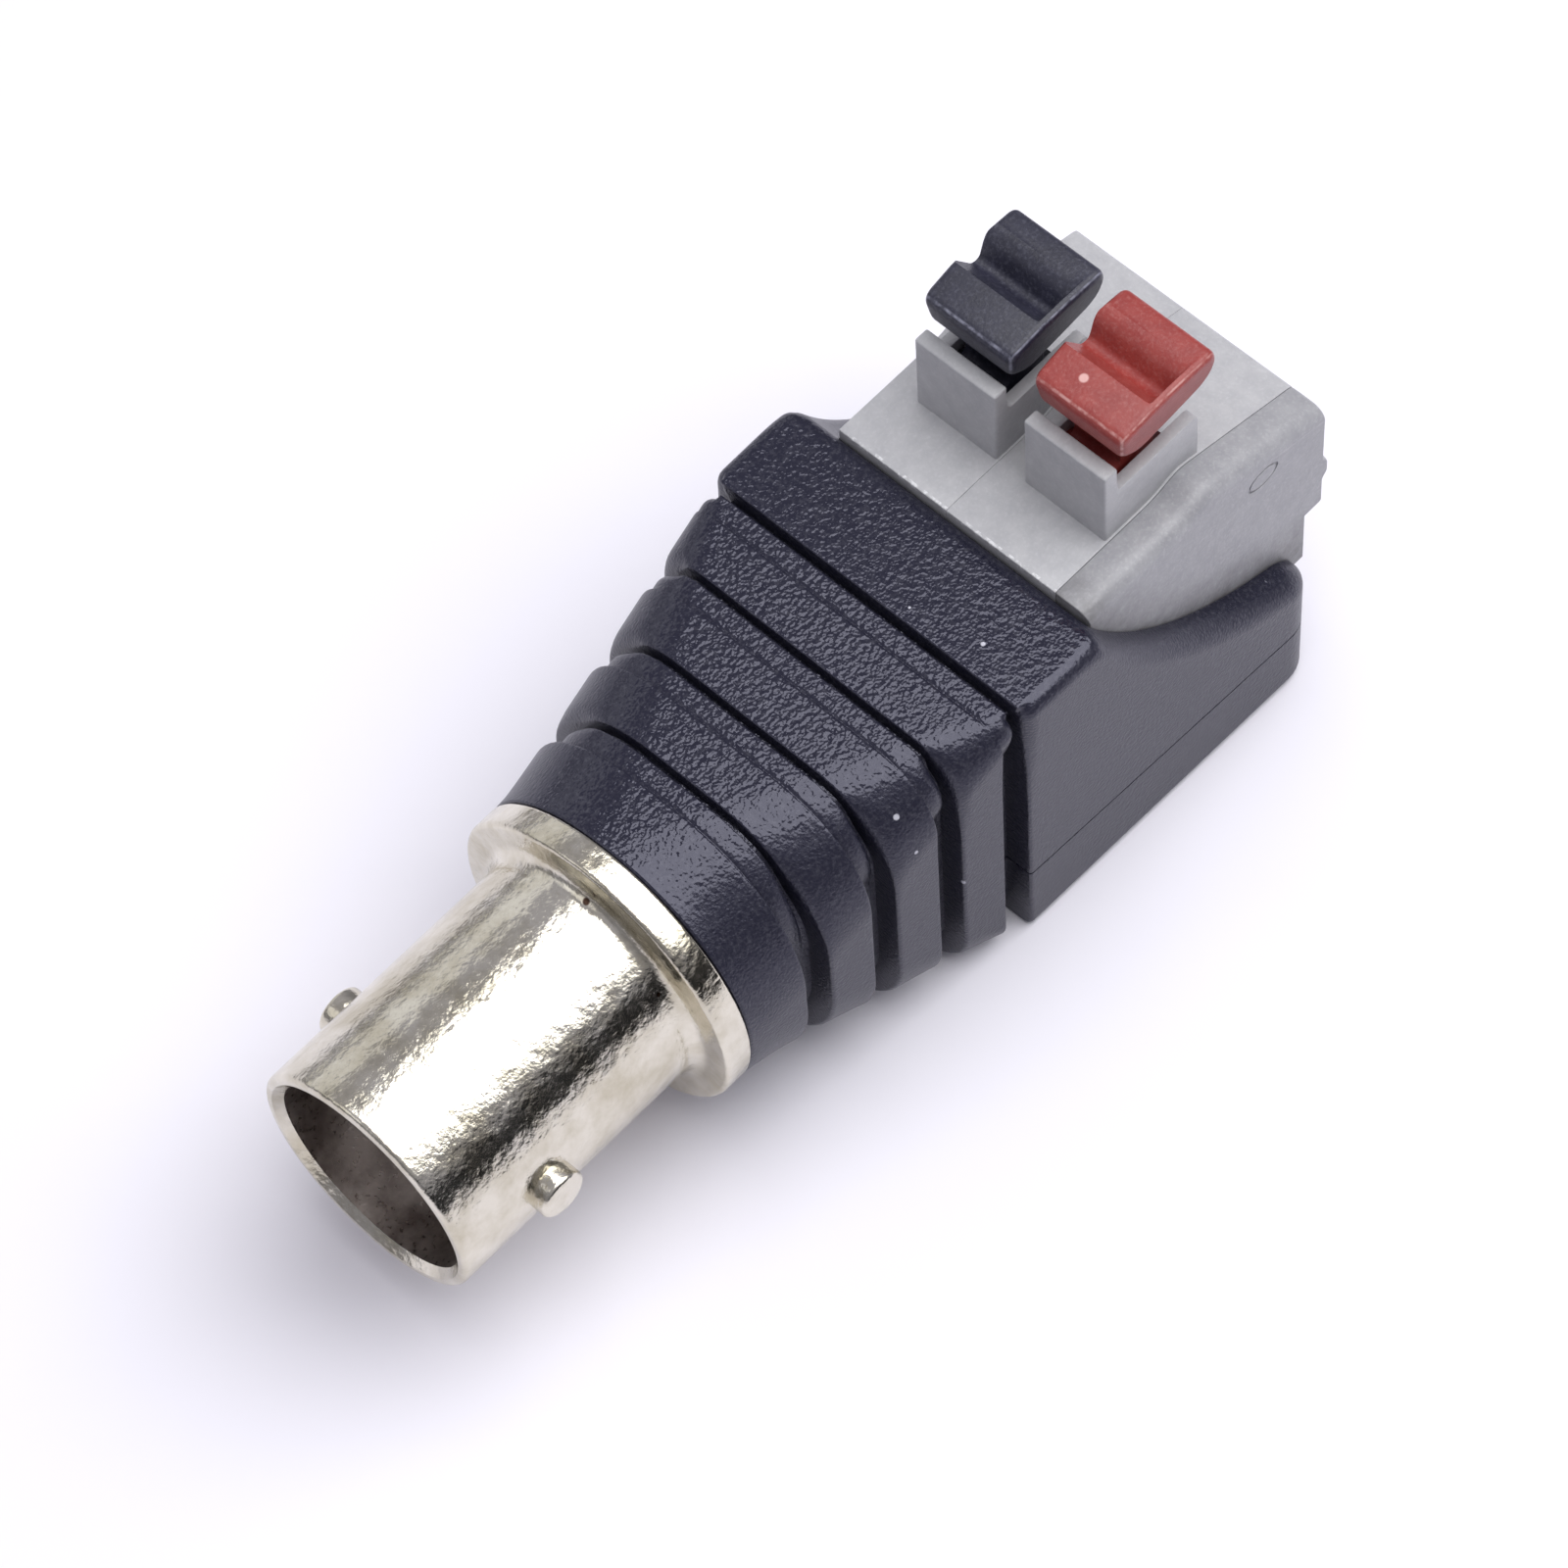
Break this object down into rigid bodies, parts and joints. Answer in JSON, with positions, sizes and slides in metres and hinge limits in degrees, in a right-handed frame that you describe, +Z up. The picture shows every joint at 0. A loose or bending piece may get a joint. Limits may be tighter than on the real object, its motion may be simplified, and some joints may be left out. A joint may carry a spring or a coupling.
{
  "type": "bnc socket to lever terminal adapter",
  "caption": "Coaxial bayonet socket on a ribbed moulded body with a grey spring-clamp terminal block and hinged levers for bare wires.",
  "frame": {"origin": "centre of the barrel's mouth, on the barrel's axis", "axes": "+X along the barrel towards the terminal end, +Z up with the part on its flat base, -Y to the red lever's side"},
  "size_m": [0.0426, 0.0154, 0.0211],
  "materials": {
    "nickel": "nickel plated, slightly rough cast and turned",
    "ptfe": "white insulator, smooth",
    "brass": "plated contact metal",
    "black_plastic": "black moulded plastic, spark-textured plate",
    "grey_plastic": "grey moulded plastic, satin",
    "black_lever": "black moulded plastic, satin",
    "red_lever": "red moulded plastic, satin, slightly translucent",
    "steel": "bright spring steel",
    "red_sleeve": "soft insulation",
    "black_sleeve": "soft insulation"
  },
  "bodies": {
    "body": {"shell": "nickel", "insulator": "ptfe", "centre_contact": "brass", "signal_lead": "red_sleeve", "ground_lead": "black_sleeve", "moulding": "black_plastic", "base_cover": "black_plastic", "module_black": "grey_plastic", "module_red": "grey_plastic", "end_cover": "grey_plastic", "spring_black": "steel", "spring_red": "steel", "bar_black": "brass", "bar_red": "brass"},
    "lever_black": {"lever_black": "black_lever"},
    "lever_red": {"lever_red": "red_lever"}
  },
  "joints": [
    {"name": "black_lever_press", "type": "hinge", "parent": "body", "child": "lever_black", "pos_m": [0.0343, 0.00218, 0.0083], "axis": [0, 1, 0], "range_deg": [0, 22], "stiffness_Nm_per_rad": 0.02, "springref_deg": -11.46},
    {"name": "red_lever_press", "type": "hinge", "parent": "body", "child": "lever_red", "pos_m": [0.0343, -0.0029, 0.0083], "axis": [0, 1, 0], "range_deg": [0, 22], "stiffness_Nm_per_rad": 0.02, "springref_deg": -11.46}
  ]
}
